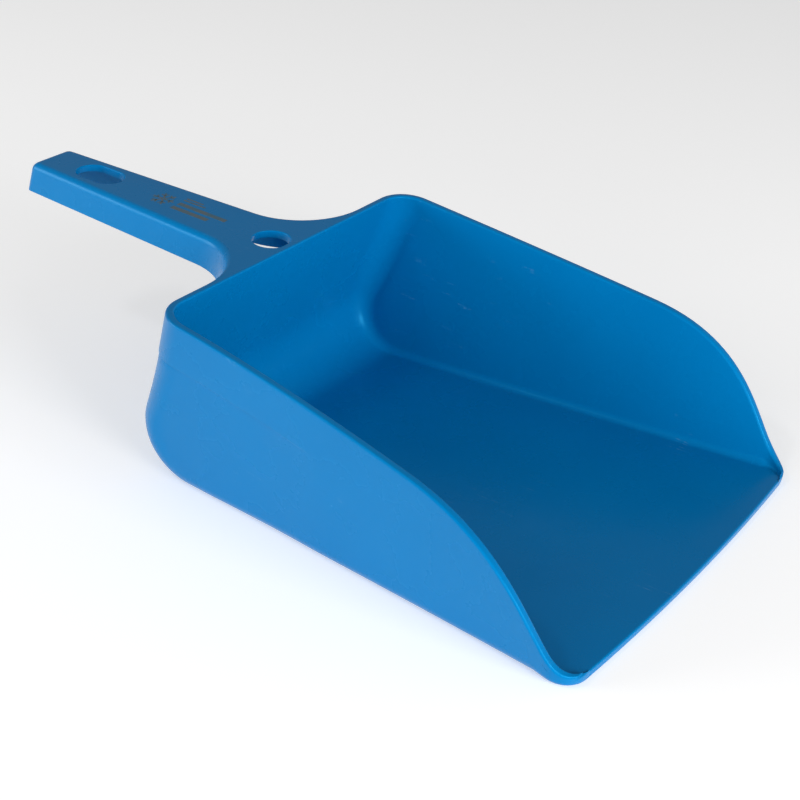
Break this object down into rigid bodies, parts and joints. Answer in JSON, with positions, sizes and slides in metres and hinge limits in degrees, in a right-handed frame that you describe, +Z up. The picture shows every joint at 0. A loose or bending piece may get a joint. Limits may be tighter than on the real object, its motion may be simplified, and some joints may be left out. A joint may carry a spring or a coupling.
{
  "type": "ice scoop",
  "caption": "Flat-bottomed moulded plastic scoop, open at the front, with a flared bowl and a straight channel handle that has a hanging slot.",
  "frame": {"origin": "centre of the bounding box in plan, on the plane of the flat underside of the floor", "axes": "+X from the handle towards the lip, +Y to the left of someone who holds the handle and looks at the lip, +Z up"},
  "size_m": [0.3486, 0.1878, 0.0873],
  "materials": {
    "blue_plastic": "satin injection-moulded polypropylene"
  },
  "bodies": {
    "root": {"bowl": "blue_plastic", "handle": "blue_plastic"}
  },
  "joints": []
}
